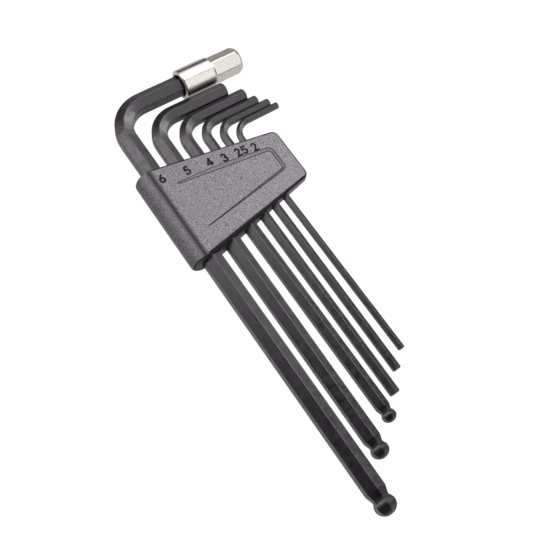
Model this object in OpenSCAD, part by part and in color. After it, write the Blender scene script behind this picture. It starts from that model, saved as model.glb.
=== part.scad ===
// Set of six L-shaped hex keys in a moulded holder, with an 8 mm adapter on the largest key.
// The set lies on its back: +Z is up out of the numbered face, the long arms run towards -Y
// and the short arms towards +X. The origin is under the middle of the whole set.

/* [Hex bars] */
// Width over the corners of a bar, divided by its width over the flats
corner_ratio = 1.13; // [1.12:0.005:1.15]
// Chamfer at a plain end of a bar, divided by its width over the flats
end_chamfer_ratio = 0.09; // [0.05:0.01:0.14]

/* [Key 6] */
// Width over the flats
key_6_af = 6; // [5:0.5:7]
// Long arm, from the short arm's outer face to the tip
key_6_long = 151.4; // [120:1:180]
// Short arm, from the long arm's outer face to the tip
key_6_short = 38; // [34:0.5:42]
// Radius of the bend at the bar's middle
key_6_bend = 10.5; // [8:0.5:12]

/* [Key 5] */
// Width over the flats
key_5_af = 5; // [4:0.5:6]
// Long arm, from the short arm's outer face to the tip
key_5_long = 129.05; // [100:1:150]
// Short arm, from the long arm's outer face to the tip
key_5_short = 31; // [25:0.5:40]
// Radius of the bend at the bar's middle
key_5_bend = 8.5; // [7:0.5:11]
// Turn of the whole key in the plane of the set, degrees
key_5_splay = -0.34; // [-0.6:0.02:0.2]
// Free space between this long arm and the one of key 6
key_5_side_gap = 3.17; // [2.5:0.1:5]
// Free space between this short arm and the one of key 6
key_5_stack_gap = 3.15; // [2.5:0.1:5]

/* [Key 4] */
// Width over the flats
key_4_af = 4; // [3.5:0.25:4.5]
// Long arm, from the short arm's outer face to the tip
key_4_long = 116.7; // [90:1:140]
// Short arm, from the long arm's outer face to the tip
key_4_short = 28; // [22:0.5:35]
// Radius of the bend at the bar's middle
key_4_bend = 7.3; // [6:0.1:9]
// Turn of the whole key in the plane of the set, degrees
key_4_splay = 0.17; // [-0.2:0.02:0.4]
// Free space between this long arm and the one of key 5
key_4_side_gap = 2.61; // [2:0.1:4]
// Free space between this short arm and the one of key 5
key_4_stack_gap = 0.43; // [0.43:0.05:2]

/* [Key 3] */
// Width over the flats
key_3_af = 3; // [2.5:0.25:3.5]
// Long arm, from the short arm's outer face to the tip
key_3_long = 106.6; // [80:1:130]
// Short arm, from the long arm's outer face to the tip
key_3_short = 23.55; // [18:0.5:30]
// Radius of the bend at the bar's middle
key_3_bend = 5.7; // [4.5:0.1:8]
// Turn of the whole key in the plane of the set, degrees
key_3_splay = -0.23; // [-0.3:0.02:0.1]
// Free space between this long arm and the one of key 4
key_3_side_gap = 2.91; // [2:0.1:4]
// Free space between this short arm and the one of key 4
key_3_stack_gap = 0.05; // [0.05:0.05:2]

/* [Key 2.5] */
// Width over the flats
key_2_5_af = 2.5; // [2:0.25:3]
// Long arm, from the short arm's outer face to the tip
key_2_5_long = 98.05; // [70:1:120]
// Short arm, from the long arm's outer face to the tip
key_2_5_short = 21.35; // [16:0.5:28]
// Radius of the bend at the bar's middle
key_2_5_bend = 5.3; // [4:0.1:7]
// Turn of the whole key in the plane of the set, degrees
key_2_5_splay = -0.23; // [-0.3:0.02:0.1]
// Free space between this long arm and the one of key 3
key_2_5_side_gap = 2.21; // [1.6:0.1:4]
// Free space between this short arm and the one of key 3
key_2_5_stack_gap = 0.05; // [0.05:0.05:2]

/* [Key 2] */
// Width over the flats
key_2_af = 2; // [1.5:0.25:2.5]
// Long arm, from the short arm's outer face to the tip
key_2_long = 91; // [65:1:110]
// Short arm, from the long arm's outer face to the tip
key_2_short = 18.6; // [14:0.5:24]
// Radius of the bend at the bar's middle
key_2_bend = 5.5; // [4:0.5:6]
// Turn of the whole key in the plane of the set, degrees
key_2_splay = 0.23; // [-0.1:0.02:0.25]
// Free space between this long arm and the one of key 2.5
key_2_side_gap = 1.95; // [1.4:0.1:4]
// Free space between this short arm and the one of key 2.5
key_2_stack_gap = 0.2; // [0.2:0.05:2]

/* [Ball ends] */
// Width of the ball over its flats, divided by the bar's width over the flats
ball_ratio = 0.985; // [0.96:0.005:0.99]
// Width of the small flat at the ball's tip, divided by the bar's width over the flats
tip_flat_ratio = 0.2; // [0.1:0.02:0.3]
// Width of the neck behind the ball, divided by the width over the flats
neck_ratio = 0.78; // [0.7:0.01:0.84]
// Length of the turned taper into the neck, divided by the width over the flats
neck_taper_ratio = 0.36; // [0.25:0.01:0.5]
// Straight length of the neck up to the ball, divided by the width over the flats
neck_land_ratio = 0.1; // [0.05:0.01:0.3]

/* [Holder] */
// Play between a bar and its channel, each side
channel_play = 0.1; // [0.05:0.01:0.2]
// Wall over the corners of key 6, which sets the thickness at the thick edge
thick_edge_wall = 1.5; // [1:0.05:2.5]
// Wall outside the flat of key 6, at the thick edge's middle line
side_wall = 3.75; // [2.5:0.05:5]
// Wall over the corners of key 2, which sets the thickness at the thin edge
thin_edge_wall = 0.92; // [0.8:0.02:2]
// Free wall beyond key 2, at the thin edge
end_margin = 9.65; // [4:0.05:14]
// Length of the thick edge, along the keys
thick_edge_len = 33.8; // [26:0.1:45]
// Length of the thin edge, along the keys
thin_edge_len = 19.85; // [14:0.05:26]
// Bare length of key 6 between its short arm's outer face and the holder
thick_edge_setback = 28.2; // [22:0.1:34]
// Distance along the keys from the holder's thick corner to its thin corner
top_edge_fall = 5.4; // [0:0.1:10]
// Rounding of the edges
edge_round = 1; // [0.6:0.05:1.2]
// Rounding of the barrel's two rims, at the thick edge
barrel_rim_round = 1.3; // [0.8:0.1:2.4]
// Rounding of the corners at the thin edge, seen from the front
corner_round = 2.2; // [1.4:0.1:4]

/* [Front panel] */
// Depth of the sunk panel at its thin end
panel_depth = 0.55; // [0.2:0.05:0.8]
// Distance from the middle of key 6 to where the panel starts
panel_start = 1; // [0:0.1:4]
// Rim between the panel's floor and the thin edge
panel_end_rim = 5.95; // [3.5:0.05:8]
// Rim between the panel's floor and the upper edge at the thick end, where the sizes are marked
panel_top_rim = 8; // [6:0.1:10]
// Rim between the panel's floor and the upper edge at the thin end
panel_top_rim_end = 6.8; // [4:0.1:8]
// Rim between the panel's floor and the lower edge at the thick end
panel_bottom_rim = 7; // [3:0.1:9]
// Rim between the panel's floor and the lower edge at the thin end
panel_bottom_rim_end = 7.4; // [4:0.1:8]
// Rounding of the floor's corners at the thin end
panel_round = 1; // [0.5:0.1:1.8]
// Slope of the panel's walls away from upright, degrees
panel_draft = 45; // [20:1:50]

/* [Adapter] */
// Width over the flats of the adapter's hex
adapter_af = 8; // [7:0.5:9]
// Length of the adapter's hex
adapter_hex_len = 10; // [8:0.5:12]
// Diameter of the adapter's round sleeve
sleeve_d = 10.2; // [9.6:0.1:12]
// Length of the sleeve
sleeve_len = 12.5; // [11.5:0.1:15]
// Depth of the hex socket, from the sleeve's mouth
socket_depth = 10; // [8:0.1:11]
// Play between key 6 and the socket, each side
socket_play = 0.08; // [0.03:0.01:0.15]
// Diameter of the round mouth in front of the socket
mouth_d = 7.7; // [7.3:0.1:8.4]
// Depth of the round mouth
mouth_depth = 1.6; // [0.8:0.1:3]
// Rounding of the sleeve's open end
sleeve_round = 0.7; // [0.3:0.05:0.9]
// Chamfer of the sleeve down to the hex
shoulder_chamfer = 1.15; // [0.3:0.05:1.4]
// Space left at the bottom of the socket
socket_end_space = 0.2; // [0.1:0.05:0.5]

/* [Hidden] */
eps = 0.01;

// places of the arms: x of each long arm and y of each short arm, from key 6's own corner
x_6 = 0;
x_5 = x_6 + (key_6_af + key_5_af) / 2 + key_5_side_gap;
x_4 = x_5 + (key_5_af + key_4_af) / 2 + key_4_side_gap;
x_3 = x_4 + (key_4_af + key_3_af) / 2 + key_3_side_gap;
x_2_5 = x_3 + (key_3_af + key_2_5_af) / 2 + key_2_5_side_gap;
x_2 = x_2_5 + (key_2_5_af + key_2_af) / 2 + key_2_side_gap;
y_6 = 0;
y_5 = y_6 - (key_6_af + key_5_af) / 2 - key_5_stack_gap;
y_4 = y_5 - (key_5_af + key_4_af) / 2 - key_4_stack_gap;
y_3 = y_4 - (key_4_af + key_3_af) / 2 - key_3_stack_gap;
y_2_5 = y_3 - (key_3_af + key_2_5_af) / 2 - key_2_5_stack_gap;
y_2 = y_2_5 - (key_2_5_af + key_2_af) / 2 - key_2_stack_gap;

// holder, in the same frame
barrel_r = key_6_af * corner_ratio / 2 + thick_edge_wall;
barrel_x = x_6 - key_6_af / 2 - side_wall + barrel_r;
thin_half = key_2_af * corner_ratio / 2 + thin_edge_wall;
end_x = x_2 + key_2_af / 2 + end_margin;
top_y = y_6 + key_6_af / 2 - thick_edge_setback;
bottom_y = top_y - thick_edge_len;
top_end_y = top_y - top_edge_fall;
bottom_end_y = top_end_y - thin_edge_len;
// run of the two sloping edges, per mm of x
run_x = end_x - barrel_x;
top_slope = (top_end_y - top_y) / run_x;
bottom_slope = (bottom_end_y - bottom_y) / run_x;
// the flat front face is tangent to the barrel and to the rounded thin edge
rim_run = run_x - edge_round;
rim_rise = thin_half - edge_round;
face_lean = asin((barrel_r - edge_round) / norm([rim_run, rim_rise])) - atan(rim_rise / rim_run);
function face_z(x) = barrel_r / cos(face_lean) - (x - barrel_x) * tan(face_lean);

// adapter: the socket's bottom stands just off the tip of key 6's short arm
key_6_tip_x = x_6 - key_6_af / 2 + key_6_short;
adapter_x = key_6_tip_x + socket_end_space - socket_depth;

// the whole set, to bring the middle of its base to the origin
set_right = max(adapter_x + sleeve_len + adapter_hex_len,
    x_5 - key_5_af / 2 + key_5_short, x_4 - key_4_af / 2 + key_4_short,
    x_3 - key_3_af / 2 + key_3_short, x_2_5 - key_2_5_af / 2 + key_2_5_short,
    x_2 - key_2_af / 2 + key_2_short, end_x);
set_left = barrel_x - barrel_r;
set_back = y_6 + max(sleeve_d, key_6_af) / 2;
set_front = min(y_6 + key_6_af / 2 - key_6_long, y_5 + key_5_af / 2 - key_5_long,
    y_4 + key_4_af / 2 - key_4_long);
axis_z = max(sleeve_d / 2, barrel_r);
mid_x = (set_left + set_right) / 2;
mid_y = (set_back + set_front) / 2;

// half width of a flat, between its two broken corners
function half_flat(af) = af * sqrt(corner_ratio * corner_ratio - 1) / 2;

// hex section with broken corners: flats on both sides in x, corners up and down in y
module hex_section(af) {
    polygon([for (k = [0 : 60 : 300]) for (s = [-1, 1])
        [af / 2 * cos(k) - s * half_flat(af) * sin(k), af / 2 * sin(k) + s * half_flat(af) * cos(k)]]);
}

// straight bar along +Z with a turned chamfer at its far end
module plain_arm(af, len) {
    over = af * corner_ratio / 2;
    cut = af * end_chamfer_ratio;
    intersection() {
        linear_extrude(height = len) hex_section(af);
        rotate_extrude($fn = 72)
            polygon([[0, -eps], [over + 1, -eps], [over + 1, len - cut - 1], [over - cut, len], [0, len]]);
    }
}

// what is cut away beside a ball end, seen across two opposite flats, with the arm along +Y
module ball_waste(af, len) {
    ball = af * ball_ratio;
    tip = af * tip_flat_ratio;
    neck = af * neck_ratio;
    ball_y = len - sqrt(ball * ball - tip * tip) / 2;
    land_y = ball_y - sqrt(ball * ball - neck * neck) / 2 - af * neck_land_ratio;
    taper_slope = (1 - neck_ratio) / 2 / neck_taper_ratio;
    start_y = land_y - (af - neck / 2) / taper_slope;
    difference() {
        polygon([[af, start_y], [neck / 2, land_y], [neck / 2, ball_y], [-neck / 2, ball_y],
            [-neck / 2, land_y], [-af, start_y], [-af, len + 1], [af, len + 1]]);
        translate([0, ball_y]) circle(d = ball, $fn = 72);
    }
}

// straight bar along +Z whose six flats are cut to a neck and a ball at the far end
module ball_arm(af, len) {
    difference() {
        linear_extrude(height = len) hex_section(af);
        for (turn = [0, 60, 120]) rotate([0, 0, turn]) rotate([90, 0, 0])
            linear_extrude(height = 2 * af, center = true) ball_waste(af, len);
    }
}

// whole key in its own place: long arm along -Y, short arm along +X
module l_key(x, y, af, long, short, bend, splay, ball) {
    translate([x, 0, 0]) rotate([0, 0, splay]) translate([0, y, 0]) {
        long_run = long - af / 2 - bend;
        short_run = short - af / 2 - bend;
        translate([0, -bend, 0]) rotate([90, 0, 0]) {
            if (ball) ball_arm(af, long_run);
            else plain_arm(af, long_run);
        }
        translate([bend, -bend, 0]) rotate([0, 0, 90]) rotate_extrude(angle = 90, $fn = 96)
            translate([bend, 0]) hex_section(af);
        translate([bend, 0, 0]) rotate([90, 0, 90]) plain_arm(af, short_run);
    }
}

// channel that a long arm runs through, from well above the holder to well below it
module channel(x, af, splay) {
    translate([x, 0, 0]) rotate([0, 0, splay]) translate([0, top_y + 8, 0]) rotate([90, 0, 0])
        linear_extrude(height = thick_edge_len + 16) hex_section(af + 2 * channel_play);
}

// round end of the holder's thick edge: a barrel along Y with rounded rims
module barrel_end(y, dir) {
    r = barrel_rim_round;
    translate([barrel_x, y, 0]) rotate([90 * dir, 0, 0]) rotate_extrude($fn = 56) {
        translate([barrel_r - r, r]) intersection() {
            circle(r = r, $fn = 32);
            translate([0, -r]) square(r);
        }
        square([barrel_r - r, 3]);
    }
}

// corner of the holder's thin edge: a disc with rounded rims
module thin_corner(y) {
    translate([end_x - corner_round, y, 0]) rotate_extrude($fn = 40) {
        for (s = [-1, 1]) translate([corner_round - edge_round, s * (thin_half - edge_round)]) intersection() {
            circle(r = edge_round, $fn = 24);
            translate([0, -edge_round]) square([edge_round, 2 * edge_round]);
        }
        translate([0, -thin_half]) square([corner_round - edge_round, 2 * thin_half]);
    }
}

module holder_body() {
    hull() {
        barrel_end(top_y, 1);
        barrel_end(bottom_y, -1);
        thin_corner(top_end_y - corner_round);
        thin_corner(bottom_end_y + corner_round);
    }
}

// sunk panel: its floor starts level with the front face and gets deeper towards the thin edge
module panel_cut() {
    px0 = panel_start;
    px1 = end_x - panel_end_rim;
    y_top = top_y + top_slope * (px0 - barrel_x);
    y_bottom = bottom_y + bottom_slope * (px0 - barrel_x);
    run = px1 - px0;
    sink = atan(panel_depth / run);
    y_top_end = top_end_y - top_slope * (end_x - px1);
    y_bottom_end = bottom_end_y - bottom_slope * (end_x - px1);
    flare = 3 * tan(panel_draft);
    translate([px0, 0, face_z(px0)]) rotate([0, face_lean + sink, 0]) hull() {
        for (y = [y_top - panel_top_rim, y_bottom + panel_bottom_rim])
            translate([0, y, 0]) cylinder(r1 = eps, r2 = flare, h = 3, $fn = 32);
        for (y = [y_top_end - panel_top_rim_end - panel_round, y_bottom_end + panel_bottom_rim_end + panel_round])
            translate([run - panel_round, y, 0]) cylinder(r1 = panel_round, r2 = panel_round + flare, h = 3, $fn = 32);
    }
}

module place() {
    translate([-mid_x, -mid_y, axis_z]) children();
}

module holder() {
    color("#5c5a61") place() difference() {
        holder_body();
        channel(x_6, key_6_af, 0);
        channel(x_5, key_5_af, key_5_splay);
        channel(x_4, key_4_af, key_4_splay);
        channel(x_3, key_3_af, key_3_splay);
        channel(x_2_5, key_2_5_af, key_2_5_splay);
        channel(x_2, key_2_af, key_2_splay);
        panel_cut();
    }
}

module key_6() {
    color("#3a383d") place() l_key(x_6, y_6, key_6_af, key_6_long, key_6_short, key_6_bend, 0, true);
}

module key_5() {
    color("#3a383d") place() l_key(x_5, y_5, key_5_af, key_5_long, key_5_short, key_5_bend, key_5_splay, true);
}

module key_4() {
    color("#3a383d") place() l_key(x_4, y_4, key_4_af, key_4_long, key_4_short, key_4_bend, key_4_splay, true);
}

module key_3() {
    color("#3a383d") place() l_key(x_3, y_3, key_3_af, key_3_long, key_3_short, key_3_bend, key_3_splay, false);
}

module key_2_5() {
    color("#3a383d") place()
        l_key(x_2_5, y_2_5, key_2_5_af, key_2_5_long, key_2_5_short, key_2_5_bend, key_2_5_splay, false);
}

module key_2() {
    color("#3a383d") place() l_key(x_2, y_2, key_2_af, key_2_long, key_2_short, key_2_bend, key_2_splay, false);
}

// outside of the adapter along +Z from the sleeve's mouth
module adapter_sleeve() {
    r = sleeve_d / 2;
    rotate_extrude($fn = 96) {
        difference() {
            polygon([[0, 0], [r, 0], [r, sleeve_len - shoulder_chamfer], [r - shoulder_chamfer, sleeve_len], [0, sleeve_len]]);
            translate([r - sleeve_round, 0]) difference() {
                translate([0, -eps]) square([sleeve_round + eps, sleeve_round + eps]);
                translate([0, sleeve_round]) circle(r = sleeve_round, $fn = 48);
            }
        }
    }
}

module adapter_8() {
    over = adapter_af * corner_ratio / 2;
    cut = adapter_af * end_chamfer_ratio;
    total = sleeve_len + adapter_hex_len;
    color("#d8d2c8") place() translate([adapter_x, y_6, 0]) rotate([90, 0, 90]) difference() {
        union() {
            adapter_sleeve();
            intersection() {
                translate([0, 0, sleeve_len - 2]) linear_extrude(height = adapter_hex_len + 2) hex_section(adapter_af);
                rotate_extrude($fn = 96)
                    polygon([[0, 0], [over + 1, 0], [over + 1, total - (cut + 1) / tan(30)], [over - cut, total], [0, total]]);
            }
        }
        translate([0, 0, -eps]) cylinder(d = mouth_d, h = mouth_depth + eps, $fn = 72);
        linear_extrude(height = socket_depth) hex_section(key_6_af + 2 * socket_play);
    }
}

holder();
key_6();
key_5();
key_4();
key_3();
key_2_5();
key_2();
adapter_8();
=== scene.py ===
import math

import bmesh
import bpy
from mathutils import Matrix, Vector

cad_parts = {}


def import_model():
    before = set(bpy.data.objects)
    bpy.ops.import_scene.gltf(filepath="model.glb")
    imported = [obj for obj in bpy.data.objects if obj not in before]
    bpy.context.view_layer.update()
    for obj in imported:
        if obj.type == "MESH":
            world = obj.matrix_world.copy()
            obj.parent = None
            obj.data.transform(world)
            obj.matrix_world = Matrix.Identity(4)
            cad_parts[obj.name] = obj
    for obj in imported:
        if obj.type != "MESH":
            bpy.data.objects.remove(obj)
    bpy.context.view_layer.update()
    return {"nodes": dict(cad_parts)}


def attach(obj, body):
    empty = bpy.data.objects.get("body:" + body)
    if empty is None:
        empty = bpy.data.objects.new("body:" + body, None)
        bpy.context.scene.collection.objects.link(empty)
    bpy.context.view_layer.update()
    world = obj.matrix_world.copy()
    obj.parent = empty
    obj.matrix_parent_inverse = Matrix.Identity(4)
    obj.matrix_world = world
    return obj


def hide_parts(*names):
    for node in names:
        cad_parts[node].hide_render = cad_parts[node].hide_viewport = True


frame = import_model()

nodes = frame["nodes"]

# Sizes are in millimetres: x = 0 and y = 0 where the axes of key 6's arms cross, z = 0 in the keys' plane
# Middle of the whole set, and height of the keys' plane above the floor
MID_X, MID_Y, AXIS_Z = 21.1, -71.65, 5.1
TO_ROW = Matrix.Scale(0.001, 4) @ Matrix.Translation((-MID_X, -MID_Y, AXIS_Z))

# Width over the corners of a bar, for a width of 1 over its flats
CORNER = 1.13
# x of the long arm, width over the flats and turn in degrees of each key
KEYS = {
    "key_6": (0, 6, 0),
    "key_5": (8.67, 5, -0.34),
    "key_4": (15.78, 4, 0.17),
    "key_3": (22.19, 3, -0.23),
    "key_2_5": (27.15, 2.5, -0.23),
    "key_2": (31.35, 2, 0.23),
}

# Holder: its barrel, the thin end, and the upper and lower edge at both ends
BARREL_X, BARREL_R, BARREL_ROUND = -1.86, 4.89, 1.3
END_X, END_CORNER, END_HALF, END_ROUND = 42.0, 2.2, 2.05, 1.0
TOP_Y, BOTTOM_Y = -25.2, -59.0
TOP_END_Y, BOTTOM_END_Y = -30.6, -50.45
# Lean of the front from the barrel down to the thin end
LEAN = math.radians(3.80243)

# Channels: play all round, how far the cutter starts past the upper edge, and its two ends
PLAY = 0.1
CHANNEL_START = 8
CHANNEL_ENDS = (-1, 55)

# Valley beside the barrel: its deepest line, its depth, how wide and how sharply the face rounds down to it
STEP_X, STEP_DEPTH, STEP_WIDTH, STEP_CURVE = -2.35, 0.5, 1.9, 2.4
# Angle round the barrel at which the lowering has faded out
STEP_FADE = math.radians(165)
# Painted shade in the valley beside the barrel, darkening the plastic's colour: x of both sides and the
# middle
PAINTED_SHADE_X = (-3.9, -2.05, -0.6)
# Heights in metres where the painted shade starts and is full, and its share there
PAINTED_SHADE_Z = (0.007, 0.009)
PAINTED_SHADE_SHARE = 0.92

# Sunk panel: its ends, its depth at the thin end, and its rounded corners there
PANEL_X0, PANEL_X1, PANEL_DEPTH, PANEL_CORNER = 1.0, 36.0, 0.32, 1.2
# Two points on the foot of its upper and of its lower wall, and the way these walls face
TOP_FOOT = ((1.09, -33.58), (36.05, -36.74))
LOW_FOOT = ((0.85, -51.42), (36.05, -44.1))
TOP_FACING = math.pi / 2 - 0.09
LOW_FACING = -math.pi / 2 + 0.2
# Widths of the walls: places along the upper wall and its width there, the lower wall's ends, the end wall
TOP_WALL = [(1.0, 0.1), (5.5, 0.6), (10.0, 0.95), (18.0, 1.3), (26.0, 1.3), (33.0, 1.15), (36.1, 1.05)]
LOW_WALL, LOW_WALL_RUN = (0.06, 0.95), 35
END_WALL = 1.0
# Section of a wall as shares of its depth and width, and the height added above the face
WALL_SECTION = [(0.0, 0.0, 0), (0.04, 0.1, 0), (0.92, 0.9, 0), (1.0, 1.0, 0), (1.3, 1.06, 0), (1.3, 1.06, 2)]
# Fine grooves along the walls: where they start, and radius and sink of the outer and the inner one
LINE_START = 3
OUTER_LINE = (0.12, 0.04)
INNER_LINE = (0.13, 0.02)

# Directions of the hull's faces, as cosines: no grain on the edges' walls, painted shade on the roundings of
# face and barrel
SMOOTH_FROM = 0.86
FACE_SHADE_FROM, BARREL_SHADE_FROM, SHADE_SPLIT_X = 0.35, 0.7, -1

WHITE = (1, 1, 1, 1)


def mix(a, b, t):
    return a + (b - a) * t


def face_z(x):
    return BARREL_R / math.cos(LEAN) - (x - BARREL_X) * math.tan(LEAN)


def new_object(name, bm):
    mesh = bpy.data.meshes.new(name)
    bm.to_mesh(mesh)
    bm.free()
    obj = bpy.data.objects.new(name, mesh)
    bpy.context.scene.collection.objects.link(obj)
    return obj


def solid(name, bm, *materials):
    """Object from a closed mesh, with its faces turned outwards."""
    bmesh.ops.recalc_face_normals(bm, faces=bm.faces)
    obj = new_object(name, bm)
    for mat in materials:
        obj.data.materials.append(mat)
    return obj


# Shader nodes
def material(name, colour, roughness, metallic=0.0, specular=0.5):
    mat = bpy.data.materials.new(name)
    mat.use_nodes = True
    shader = mat.node_tree.nodes["Principled BSDF"]
    shader.inputs["Base Color"].default_value = (*colour, 1)
    shader.inputs["Roughness"].default_value = roughness
    shader.inputs["Metallic"].default_value = metallic
    shader.inputs["Specular IOR Level"].default_value = specular
    return mat, mat.node_tree, shader


def add(tree, kind, **values):
    """New node. A name that starts with in_ is the value of an input, any other is a setting."""
    node = tree.nodes.new(kind)
    for key, value in values.items():
        if key.startswith("in_"):
            name = key[3:].replace("_", " ")
            node.inputs[name].default_value = value
        else:
            setattr(node, key, value)
    return node


def coords(tree):
    return add(tree, "ShaderNodeTexCoord").outputs["Object"]


def split_xyz(tree, vector):
    node = add(tree, "ShaderNodeSeparateXYZ")
    tree.links.new(vector, node.inputs["Vector"])
    return node.outputs


def noise(tree, vector, scale, detail=2.0, roughness=0.5):
    node = add(tree, "ShaderNodeTexNoise", in_Scale=scale, in_Detail=detail, in_Roughness=roughness)
    tree.links.new(vector, node.inputs["Vector"])
    return node.outputs["Fac"]


def maths(tree, operation, *values, clamp=False):
    """Math node, fed by outputs and by plain numbers."""
    node = add(tree, "ShaderNodeMath", operation=operation, use_clamp=clamp)
    for socket, value in zip(node.inputs, values):
        if isinstance(value, bpy.types.NodeSocket):
            tree.links.new(value, socket)
        else:
            socket.default_value = value
    return node.outputs[0]


def ramp(tree, value, low, high, out_low, out_high, kind="LINEAR"):
    node = add(tree, "ShaderNodeMapRange", interpolation_type=kind)
    node.inputs["From Min"].default_value = low
    node.inputs["From Max"].default_value = high
    node.inputs["To Min"].default_value = out_low
    node.inputs["To Max"].default_value = out_high
    tree.links.new(value, node.inputs["Value"])
    return node.outputs["Result"]


def blend_colour(tree, fac, a, b):
    node = add(tree, "ShaderNodeMix", data_type="RGBA")
    tree.links.new(fac, node.inputs[0])
    node.inputs[6].default_value = (*a, 1)
    node.inputs[7].default_value = (*b, 1)
    return node.outputs[2]


def bump(tree, height, strength, distance, normal=None):
    node = add(tree, "ShaderNodeBump", in_Strength=strength, in_Distance=distance)
    tree.links.new(height, node.inputs["Height"])
    if normal is not None:
        tree.links.new(normal, node.inputs["Normal"])
    return node.outputs["Normal"]


# Materials
def steel_black():
    """Black oxide, mottled round the bends and even along the arms."""
    mat, tree, shader = material("black_steel", (0.009, 0.0075, 0.0095), 0.34)
    shader.inputs["IOR"].default_value = 1.58
    shader.inputs["Specular Tint"].default_value = (1.0, 0.93, 1.0, 1)
    place = coords(tree)
    cloud = noise(tree, place, 420, 4, 0.6)
    wide = noise(tree, place, 500, 3, 0.6)
    fine = noise(tree, place, 2200, 3, 0.6)
    tree.links.new(blend_colour(tree, cloud, (0.0035, 0.0028, 0.004), (0.008, 0.0065, 0.009)),
                   shader.inputs["Base Color"])
    tree.links.new(ramp(tree, cloud, 0.3, 0.7, 0.27, 0.42), shader.inputs["Roughness"])
    near_bends = ramp(tree, split_xyz(tree, place)["Y"], 0.05, 0.062, 0.0, 1.0)
    mottle = bump(tree, maths(tree, "MULTIPLY", wide, near_bends), 0.5, 0.0004)
    tree.links.new(bump(tree, fine, 0.45, 0.00007, mottle), shader.inputs["Normal"])
    return mat


def nickel():
    mat, tree, shader = material("nickel", (0.52, 0.495, 0.465), 0.26, metallic=1.0)
    place = coords(tree)
    cloud = noise(tree, place, 220, 3)
    fine = noise(tree, place, 3000, 2)
    tree.links.new(blend_colour(tree, cloud, (0.5, 0.47, 0.435), (0.545, 0.52, 0.49)),
                   shader.inputs["Base Color"])
    tree.links.new(ramp(tree, cloud, 0.3, 0.7, 0.22, 0.3), shader.inputs["Roughness"])
    tree.links.new(bump(tree, fine, 0.2, 0.00003), shader.inputs["Normal"])
    return mat


def valley_painted_shade(tree, vector):
    """Share of painted shade on the plastic: most in the valley on the front, and 0 on both sides of it."""
    axes = split_xyz(tree, vector)
    left, middle, right = (0.001 * (x - MID_X) for x in PAINTED_SHADE_X)
    rise = ramp(tree, axes["X"], left, middle, 0.0, 1.0, "SMOOTHSTEP")
    fall = ramp(tree, axes["X"], middle, right, 1.0, 0.0, "SMOOTHSTEP")
    front = ramp(tree, axes["Z"], *PAINTED_SHADE_Z, 0.0, PAINTED_SHADE_SHARE)
    return maths(tree, "MULTIPLY", maths(tree, "MULTIPLY", rise, fall), front)


def plastic(name, dark, light, ior=1.68, rough=(0.56, 0.34)):
    """Moulded plastic with an even spark-eroded grain, and painted shade in the valley beside the barrel."""
    mat, tree, shader = material(name, light, 0.45)
    shader.inputs["IOR"].default_value = ior
    shader.inputs["Specular Tint"].default_value = (1.0, 0.94, 1.0, 1)
    place = coords(tree)
    cloud = noise(tree, place, 90, 3)
    grain = noise(tree, place, 3500, 2, 0.6)
    spots = ramp(tree, grain, 0.42, 0.58, 0.0, 1.0)
    uneven = add(tree, "ShaderNodeMix", data_type="RGBA", blend_type="MULTIPLY")
    uneven.inputs[0].default_value = 1.0
    tree.links.new(blend_colour(tree, spots, dark, light), uneven.inputs[6])
    tree.links.new(blend_colour(tree, cloud, (0.88, 0.87, 0.88), (1.0, 1.0, 1.0)), uneven.inputs[7])
    valley_shade = valley_painted_shade(tree, place)
    # Painted shade: the colour turns near black in the valley, and the roughness rises there
    shaded = add(tree, "ShaderNodeMix", data_type="RGBA")
    tree.links.new(valley_shade, shaded.inputs[0])
    tree.links.new(uneven.outputs[2], shaded.inputs[6])
    shaded.inputs[7].default_value = (0.003, 0.0027, 0.0034, 1)
    tree.links.new(shaded.outputs[2], shader.inputs["Base Color"])
    matt = maths(tree, "MULTIPLY_ADD", valley_shade, 0.45, ramp(tree, grain, 0.3, 0.7, *rough), clamp=True)
    tree.links.new(matt, shader.inputs["Roughness"])
    tree.links.new(bump(tree, grain, 0.8, 0.00016), shader.inputs["Normal"])
    return mat


def smooth_plastic(name, low, high):
    """The same plastic where the mould has no grain."""
    mat, tree, shader = material(name, high, 0.45)
    shader.inputs["Specular Tint"].default_value = (1.0, 0.94, 1.0, 1)
    cloud = noise(tree, coords(tree), 400, 3)
    tree.links.new(blend_colour(tree, cloud, low, high), shader.inputs["Base Color"])
    tree.links.new(ramp(tree, cloud, 0.3, 0.7, 0.4, 0.5), shader.inputs["Roughness"])
    return mat


def mark_shade_plastic():
    """Dark bottom of the sunk sizes and of the fine grooves: painted shade in these recesses."""
    mat, tree, shader = material("holder_marks_painted_shade", (0.004, 0.0037, 0.0045), 0.7, specular=0.2)
    cloud = noise(tree, coords(tree), 900, 2)
    tree.links.new(blend_colour(tree, cloud, (0.003, 0.0027, 0.0035), (0.006, 0.0055, 0.0065)),
                   shader.inputs["Base Color"])
    return mat


BLACK = steel_black()
BRIGHT = nickel()
PLASTIC = plastic("holder_plastic", (0.018, 0.016, 0.019), (0.152, 0.137, 0.154))
SMOOTH = smooth_plastic("holder_plastic_smooth", (0.036, 0.034, 0.037), (0.048, 0.046, 0.049))
# Darker copy of the grained plastic: painted shade on the sloped walls of the sunk panel
SLOPE_SHADE = plastic("holder_plastic_slope_shade", (0.022, 0.02, 0.023), (0.086, 0.078, 0.087))
# Darker, duller copy of the grained plastic: painted shade on the roundings along the edges
ROUNDING_SHADE = plastic("holder_plastic_rounding_shade", (0.008, 0.007, 0.0085), (0.04, 0.036, 0.041), 1.15, (0.9, 0.75))
# Near-black painted shade in the sunk sizes and the fine grooves
MARK_SHADE = mark_shade_plastic()


def dress(name, mat):
    nodes[name].data.materials.clear()
    nodes[name].data.materials.append(mat)


for key_name in KEYS:
    dress(key_name, BLACK)
dress("adapter_8", BRIGHT)
dress("holder", PLASTIC)


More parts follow.
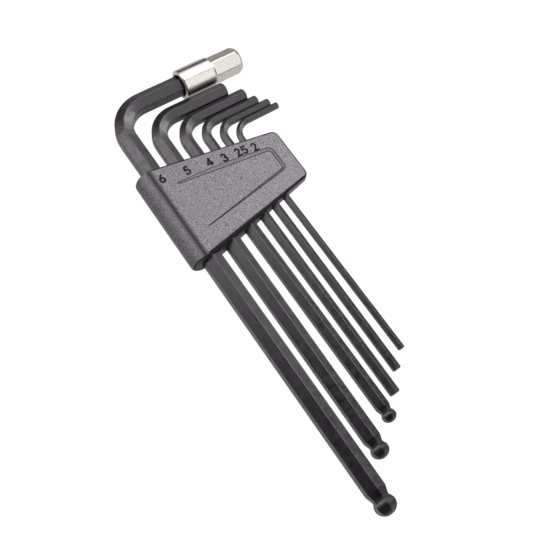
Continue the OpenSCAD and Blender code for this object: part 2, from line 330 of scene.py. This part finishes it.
# Moulded holder, with softer edges than the solid and its sizes sunk into the face
def holder_points(barrel_rings=14, barrel_sides=168, end_rings=10, end_sides=120):
    """Points on the rounded rims of the barrel and on the corners of the thin end."""
    points = []
    for y_end, way in ((TOP_Y, 1), (BOTTOM_Y, -1)):
        for j in range(barrel_rings + 1):
            a = math.radians(90 * j / barrel_rings)
            radius = BARREL_R - BARREL_ROUND + BARREL_ROUND * math.cos(a)
            y = y_end - way * BARREL_ROUND * (1 - math.sin(a))
            for i in range(barrel_sides):
                t = math.tau * i / barrel_sides
                points.append((BARREL_X + radius * math.cos(t), y, radius * math.sin(t)))
    for y_mid in (TOP_END_Y - END_CORNER, BOTTOM_END_Y + END_CORNER):
        for j in range(end_rings + 1):
            a = math.radians(90 * j / end_rings)
            radius = END_CORNER - END_ROUND + END_ROUND * math.cos(a)
            z = END_HALF - END_ROUND + END_ROUND * math.sin(a)
            for i in range(end_sides):
                t = math.tau * i / end_sides
                x, y = END_X - END_CORNER + radius * math.cos(t), y_mid + radius * math.sin(t)
                points += [(x, y, -z), (x, y, z)]
    return points


def hull_object(name, points, *materials):
    bm = bmesh.new()
    for p in points:
        bm.verts.new(p)
    bmesh.ops.convex_hull(bm, input=bm.verts)
    loose = [v for v in bm.verts if not v.link_faces]
    bmesh.ops.delete(bm, geom=loose, context="VERTS")
    bmesh.ops.dissolve_limit(bm, angle_limit=math.radians(0.02), verts=bm.verts, edges=bm.edges)
    return solid(name, bm, *materials)


def hex_loop(flats, z):
    """Hexagon with slightly cut corners, as 12 points."""
    half = flats * math.sqrt(CORNER * CORNER - 1) / 2
    loop = []
    for k in range(6):
        c, s = math.cos(math.radians(60 * k)), math.sin(math.radians(60 * k))
        for side in (-1, 1):
            loop.append(Vector((flats / 2 * c - side * half * s, flats / 2 * s + side * half * c, z)))
    return loop


def add_loft(bm, loops):
    rows = [[bm.verts.new(p) for p in loop] for loop in loops]
    count = len(rows[0])
    for a, b in zip(rows, rows[1:]):
        for i in range(count):
            j = (i + 1) % count
            bm.faces.new((a[i], a[j], b[j], b[i]))
    bm.faces.new(list(reversed(rows[0])))
    bm.faces.new(rows[-1])


def add_tube(bm, path, radius, sides=10, rings=3):
    """Round stroke with round ends along a path."""
    path = [Vector(p) for p in path]
    round_end = [math.radians(90 * k / rings) for k in range(1, rings)]
    turns = [math.tau * k / sides for k in range(sides)]
    loops = []
    for i, p in enumerate(path):
        before = (p - path[i - 1]).normalized() if i else None
        after = (path[i + 1] - p).normalized() if i + 1 < len(path) else None
        d = ((before or after) + (after or before)).normalized()
        side = d.cross(Vector((0, 0, 1))).normalized()
        up = side.cross(d)
        steps = [(0, radius)]
        if i == 0:
            steps = [(-radius * math.cos(t), radius * math.sin(t)) for t in round_end] + steps
        if i + 1 == len(path):
            steps += [(radius * math.cos(t), radius * math.sin(t)) for t in reversed(round_end)]
        for along_path, r in steps:
            loops.append([p + d * along_path + (side * math.cos(t) + up * math.sin(t)) * r for t in turns])
    add_loft(bm, loops)


def arc(cx, cy, rx, ry, start, end, count=10):
    angles = [math.radians(mix(start, end, k / count)) for k in range(count + 1)]
    return [(cx + rx * math.cos(a), cy + ry * math.sin(a)) for a in angles]


# Strokes of each size mark, in millimetres, 2.65 tall
MARKS = {
    "2": [arc(0.62, 1.96, 0.66, 0.69, 165, -25, 10) + [(0.62, 0.62), (0.02, 0.0)],
          [(0.02, 0.0), (1.52, 0.0)]],
    "3": [arc(0.66, 1.99, 0.6, 0.66, 160, -80, 9), arc(0.66, 0.7, 0.74, 0.7, 88, -160, 11)],
    "4": [[(1.12, 2.65), (0.0, 0.72)], [(0.0, 0.72), (1.62, 0.72)], [(1.12, 2.65), (1.12, 0.0)]],
    "5": [[(1.38, 2.65), (0.24, 2.65)], [(0.24, 2.65), (0.12, 1.42)],
          [(0.12, 1.42)] + arc(0.68, 0.84, 0.78, 0.84, 112, -148, 12)],
    "6": [[(1.2, 2.6), (0.72, 2.2), (0.3, 1.6), (0.1, 1.1), (0.12, 0.45)],
          arc(0.78, 0.8, 0.72, 0.8, 150, -140, 15)],
}
# Middle of a mark from its lower left, radius of its strokes, and how far their axis lies under the face
MARK_MID_X, MARK_MID_Y = 0.76, 1.32
MARK_R, MARK_SINK = 0.35, 0.1
# Digit and the middle of its mark
MARK_PLACES = [("6", 0.23, -29.98), ("5", 8.62, -31.04), ("4", 16.29, -31.65), ("3", 21.5, -32.46),
               ("2", 26.4, -32.7), ("5", 28.65, -32.9), ("2", 32.24, -33.47)]


def mark_cutters():
    made = []
    for number, (digit, x, y) in enumerate(MARK_PLACES):
        for k, stroke in enumerate(MARKS[digit]):
            path = []
            for sx, sy in stroke:
                px, py = x + sx - MARK_MID_X, y + sy - MARK_MID_Y
                path.append((px, py, face_z(px) - MARK_SINK))
            bm = bmesh.new()
            add_tube(bm, path, MARK_R)
            made.append(solid("cut_mark_%d_%d" % (number, k), bm, MARK_SHADE))
    return made


def channel_cutters():
    made = []
    for name, (x, flats, turn) in KEYS.items():
        bm = bmesh.new()
        add_loft(bm, [hex_loop(flats + 2 * PLAY, z) for z in CHANNEL_ENDS])
        place = (Matrix.Translation((x, 0, 0)) @ Matrix.Rotation(math.radians(turn), 4, "Z")
                 @ Matrix.Translation((0, TOP_Y + CHANNEL_START, 0))
                 @ Matrix.Rotation(math.radians(90), 4, "X"))
        bm.transform(place)
        made.append(solid("cut_channel_" + name, bm, SMOOTH))
    return made


def along(table, x):
    for (x0, w0), (x1, w1) in zip(table, table[1:]):
        if x <= x1:
            return mix(w0, w1, max(0.0, x - x0) / (x1 - x0))
    return table[-1][1]


def foot_y(foot, x):
    (x0, y0), (x1, y1) = foot
    return mix(y0, y1, (x - x0) / (x1 - x0))


def low_wall(x):
    return mix(*LOW_WALL, (x - LOW_FOOT[0][0]) / LOW_WALL_RUN)


def panel_depth(x):
    t = max(0.0, (x - PANEL_X0) / (PANEL_X1 - PANEL_X0))
    return 0.02 + PANEL_DEPTH * (1 - (1 - t) ** 1.7)


def panel_rim():
    """Points along the foot of the panel's walls: x, y, width of the wall and the way it faces."""
    r = PANEL_CORNER
    corner_x = PANEL_X1 - r
    xs = [mix(PANEL_X0, corner_x, k / 24) for k in range(25)]

    def corner(cy, start, end, first_wall, last_wall):
        turns = [(mix(start, end, k / 10), mix(first_wall, last_wall, k / 10)) for k in range(1, 10)]
        return [(corner_x + r * math.cos(a), cy + r * math.sin(a), wall, a) for a, wall in turns]

    rim = [(x, foot_y(LOW_FOOT, x), low_wall(x), LOW_FACING) for x in xs]
    rim += corner(foot_y(LOW_FOOT, corner_x) + r, LOW_FACING, 0, low_wall(36), END_WALL)
    for k in range(6):
        y = mix(foot_y(LOW_FOOT, PANEL_X1) + r + 0.1, foot_y(TOP_FOOT, PANEL_X1) - r - 0.1, k / 5)
        rim.append((PANEL_X1, y, END_WALL, 0))
    rim += corner(foot_y(TOP_FOOT, corner_x) - r, 0, TOP_FACING, END_WALL, along(TOP_WALL, 36))
    rim += [(x, foot_y(TOP_FOOT, x), along(TOP_WALL, x), TOP_FACING) for x in reversed(xs)]
    return rim


def panel_cutter():
    """Block with the panel's floor below and its sloped walls round it."""
    loops = []
    for rise, out, lift in WALL_SECTION:
        loop = []
        for x, y, wall, a in panel_rim():
            depth = panel_depth(x)
            px, py = x + math.cos(a) * wall * out, y + math.sin(a) * wall * out
            loop.append(Vector((px, py, face_z(px) - depth + (depth * rise + lift))))
        loops.append(loop)
    bm = bmesh.new()
    add_loft(bm, loops)
    # The walls take the darker plastic with painted shade, the floor the plain one
    for face in bm.faces:
        face.material_index = 1 if len(face.verts) == 4 else 0
    bmesh.ops.triangulate(bm, faces=[f for f in bm.faces if len(f.verts) > 4])
    return solid("cut_panel", bm, PLASTIC, SLOPE_SHADE)


def step_cutter():
    """Lowers the barrel a little beside the flat face, whose edge rounds down to it."""
    outline = []
    for k in range(9):
        t = k / 8
        x = mix(STEP_X + STEP_WIDTH, STEP_X, t)
        outline.append((x, face_z(x) + 0.02 * (1 - t) - (STEP_DEPTH + 0.1) * t ** STEP_CURVE))
    start = math.acos((STEP_X - BARREL_X) / BARREL_R)
    for k in range(1, 25):
        a = mix(start, STEP_FADE, k / 24)
        r = BARREL_R - STEP_DEPTH * (1 - k / 24)
        outline.append((BARREL_X + r * math.cos(a), r * math.sin(a)))
    outline += [(-9, 1), (-9, 7), (STEP_X + STEP_WIDTH, 7)]
    bm = bmesh.new()
    add_loft(bm, [[Vector((x, y, z)) for x, z in outline] for y in (TOP_Y + 1, BOTTOM_Y - 1)])
    return solid("cut_step", bm, PLASTIC)


def line_cutters():
    """Fine grooves along the outer and inner side of the panel's walls."""
    rim = [place for place in panel_rim() if place[0] > LINE_START]
    outer_r, outer_sink = OUTER_LINE
    inner_r, inner_sink = INNER_LINE
    outer = [(x + math.cos(a) * wall, y + math.sin(a) * wall) for x, y, wall, a in rim]
    outer = [(x, y, face_z(x) - outer_sink) for x, y in outer]
    inner = [(x, y, face_z(x) - panel_depth(x) - inner_sink) for x, y, wall, a in rim]
    made = []
    for name, path, radius in (("outer", outer, outer_r), ("inner", inner, inner_r)):
        bm = bmesh.new()
        add_tube(bm, path, radius, 8)
        made.append(solid("cut_line_" + name, bm, MARK_SHADE))
    return made


def cut(obj, cutter):
    modifier = obj.modifiers.new("cut", "BOOLEAN")
    modifier.operation = "DIFFERENCE"
    modifier.solver = "EXACT"
    modifier.material_mode = "TRANSFER"
    modifier.object = cutter
    with bpy.context.temp_override(object=obj, active_object=obj, selected_objects=[obj]):
        bpy.ops.object.modifier_apply(modifier=modifier.name)
    bpy.data.objects.remove(cutter)


def holder_slot(poly):
    """Slot of a face of the hull: 0 grained, 1 rounding with painted shade, 2 smooth wall."""
    n = poly.normal
    steep = max(n.y, -n.y - 0.1, n.x)
    shade_from = FACE_SHADE_FROM if poly.center.x > SHADE_SPLIT_X else BARREL_SHADE_FROM
    return 2 if steep > SMOOTH_FROM else 1 if steep > shade_from else 0


def holder_piece():
    obj = hull_object("holder_shell", holder_points(), PLASTIC, ROUNDING_SHADE, SMOOTH)
    for poly in obj.data.polygons:
        poly.material_index = holder_slot(poly)
    for cutter in [step_cutter()] + channel_cutters() + [panel_cutter()] + line_cutters() + mark_cutters():
        cut(obj, cutter)
    obj.data.transform(TO_ROW)
    for poly in obj.data.polygons:
        poly.use_smooth = True
    with bpy.context.temp_override(object=obj, active_object=obj, selected_objects=[obj],
                                   selected_editable_objects=[obj]):
        bpy.ops.object.shade_smooth_by_angle(angle=math.radians(32))
    weighted = obj.modifiers.new("weighted", "WEIGHTED_NORMAL")
    weighted.keep_sharp = True
    weighted.weight = 50
    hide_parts("holder")
    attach(obj, "root")


holder_piece()


# Floor, light and camera
def floor():
    """Pale floor that the camera sees evenly lit and the steel sees half as bright."""
    bm = bmesh.new()
    bmesh.ops.create_circle(bm, cap_ends=True, segments=96, radius=1.5)
    obj = new_object("floor", bm)
    mat = bpy.data.materials.new("floor")
    mat.use_nodes = True
    tree = mat.node_tree
    tree.nodes.clear()
    out = add(tree, "ShaderNodeOutputMaterial")
    diffuse = add(tree, "ShaderNodeBsdfDiffuse", in_Color=(0.7, 0.7, 0.7, 1))
    glow = add(tree, "ShaderNodeEmission", in_Strength=1.08)
    blend = add(tree, "ShaderNodeMixShader")
    rays = add(tree, "ShaderNodeLightPath").outputs
    reflected = maths(tree, "MULTIPLY", rays["Is Glossy Ray"], 0.5)
    straight = maths(tree, "MAXIMUM", rays["Is Camera Ray"], rays["Is Transmission Ray"])
    tree.links.new(maths(tree, "MULTIPLY_ADD", straight, 0.92, reflected), blend.inputs["Fac"])
    tree.links.new(diffuse.outputs["BSDF"], blend.inputs[1])
    tree.links.new(glow.outputs["Emission"], blend.inputs[2])
    tree.links.new(blend.outputs["Shader"], out.inputs["Surface"])
    obj.data.materials.append(mat)


def world():
    """White for camera and transmission rays, dimmer for glossy ones, and a weak light for the rest."""
    studio = bpy.data.worlds.new("studio")
    bpy.context.scene.world = studio
    studio.use_nodes = True
    tree = studio.node_tree
    tree.nodes.clear()
    out = add(tree, "ShaderNodeOutputWorld")
    rays = add(tree, "ShaderNodeLightPath").outputs
    seen = add(tree, "ShaderNodeBackground", in_Color=WHITE)
    tree.links.new(ramp(tree, rays["Is Glossy Ray"], 0.0, 1.0, 1.0, 0.52), seen.inputs["Strength"])
    soft = add(tree, "ShaderNodeBackground", in_Color=WHITE, in_Strength=0.24)
    either = maths(tree, "MAXIMUM", rays["Is Camera Ray"], rays["Is Glossy Ray"])
    blend = add(tree, "ShaderNodeMixShader")
    tree.links.new(maths(tree, "MAXIMUM", either, rays["Is Transmission Ray"]), blend.inputs["Fac"])
    tree.links.new(soft.outputs["Background"], blend.inputs[1])
    tree.links.new(seen.outputs["Background"], blend.inputs[2])
    tree.links.new(blend.outputs["Shader"], out.inputs["Surface"])


def softbox(name, direction, distance, size, power, diffuse=True, glossy=True):
    """Lamp that faces the set from a direction, and lights by diffuse or glossy rays or both."""
    data = bpy.data.lights.new(name, "AREA")
    data.shape = "RECTANGLE"
    data.size, data.size_y = size
    data.energy = power
    obj = bpy.data.objects.new(name, data)
    d = Vector(direction).normalized()
    obj.location = d * distance
    obj.rotation_mode = "QUATERNION"
    obj.rotation_quaternion = d.to_track_quat("Z", "Y")
    obj.visible_camera = False
    obj.visible_diffuse = diffuse
    obj.visible_glossy = glossy
    bpy.context.scene.collection.objects.link(obj)


def flag(name, direction, distance, size, grey=0.01):
    """Dark card out of the picture, which darkens what the steel reflects."""
    bm = bmesh.new()
    w, h = size
    sides = ((-1, -1), (1, -1), (1, 1), (-1, 1))
    bm.faces.new([bm.verts.new((x * w / 2, y * h / 2, 0)) for x, y in sides])
    d = Vector(direction).normalized()
    bm.transform(Matrix.Translation(d * distance) @ d.to_track_quat("Z", "Y").to_matrix().to_4x4())
    obj = new_object(name, bm)
    obj.data.materials.append(material(name, (grey, grey, grey), 0.9, specular=0.0)[0])
    obj.visible_camera = False
    obj.visible_shadow = False
    obj.visible_diffuse = False


# Camera fitted to the photograph: focal length and half the picture's width in pixels
FOCAL_PX, HALF_PX, SENSOR = 850, 280, 36


def camera():
    data = bpy.data.cameras.new("camera")
    data.sensor_fit = "HORIZONTAL"
    data.sensor_width = SENSOR
    data.lens = SENSOR / 2 / (HALF_PX / FOCAL_PX)
    data.shift_x = -0.00555
    data.shift_y = 0.00484
    data.clip_start = 0.01
    data.clip_end = 20
    obj = bpy.data.objects.new("camera", data)
    right = Vector((0.8161, -0.5647, 0.1229)).normalized()
    back = Vector((-0.3306, -0.2816, 0.9008)).normalized()
    up = back.cross(right).normalized()
    right = up.cross(back).normalized()
    turn = Matrix((right, up, back)).transposed().to_4x4()
    obj.matrix_world = Matrix.Translation((-0.091129, -0.076356, 0.233876)) @ turn
    bpy.context.scene.collection.objects.link(obj)
    bpy.context.scene.camera = obj


floor()
world()
softbox("light_key", (0.12, 0.22, 0.97), 0.14, (0.08, 0.08), 0.185, glossy=False)
softbox("light_back", (-0.05, 0.48, 0.87), 0.75, (1.4, 0.66), 4.8, diffuse=False)
softbox("light_front", (0.33, -0.66, 0.66), 0.75, (0.5, 0.8), 1.5)
softbox("light_right", (0.7, 0.3, 0.65), 0.6, (0.3, 0.4), 2.2, diffuse=False)
softbox("light_bend", (0.81, 0.0, 0.58), 0.7, (0.26, 0.22), 1.3, diffuse=False)
softbox("light_top", (0.33, -0.08, 0.95), 0.75, (0.3, 0.3), 0.06, diffuse=False)
softbox("light_ridge", (0.3, 0.12, 0.95), 0.75, (0.16, 0.16), 0.4, diffuse=False)
softbox("light_left", (-0.62, 0.52, 0.6), 0.75, (0.35, 0.3), 1.2, diffuse=False)
flag("flag_left", (-0.68, -0.14, 0.72), 0.6, (0.7, 0.4))
flag("flag_front", (-0.5, -0.8, 0.33), 0.6, (0.5, 0.35))
flag("flag_back", (0.3, 0.95, 0.13), 0.6, (1.2, 0.3), 0.05)
flag("flag_right", (0.97, 0.05, 0.17), 0.6, (0.6, 0.24), 0.05)
camera()

scene = bpy.context.scene
scene.view_settings.view_transform = "Standard"
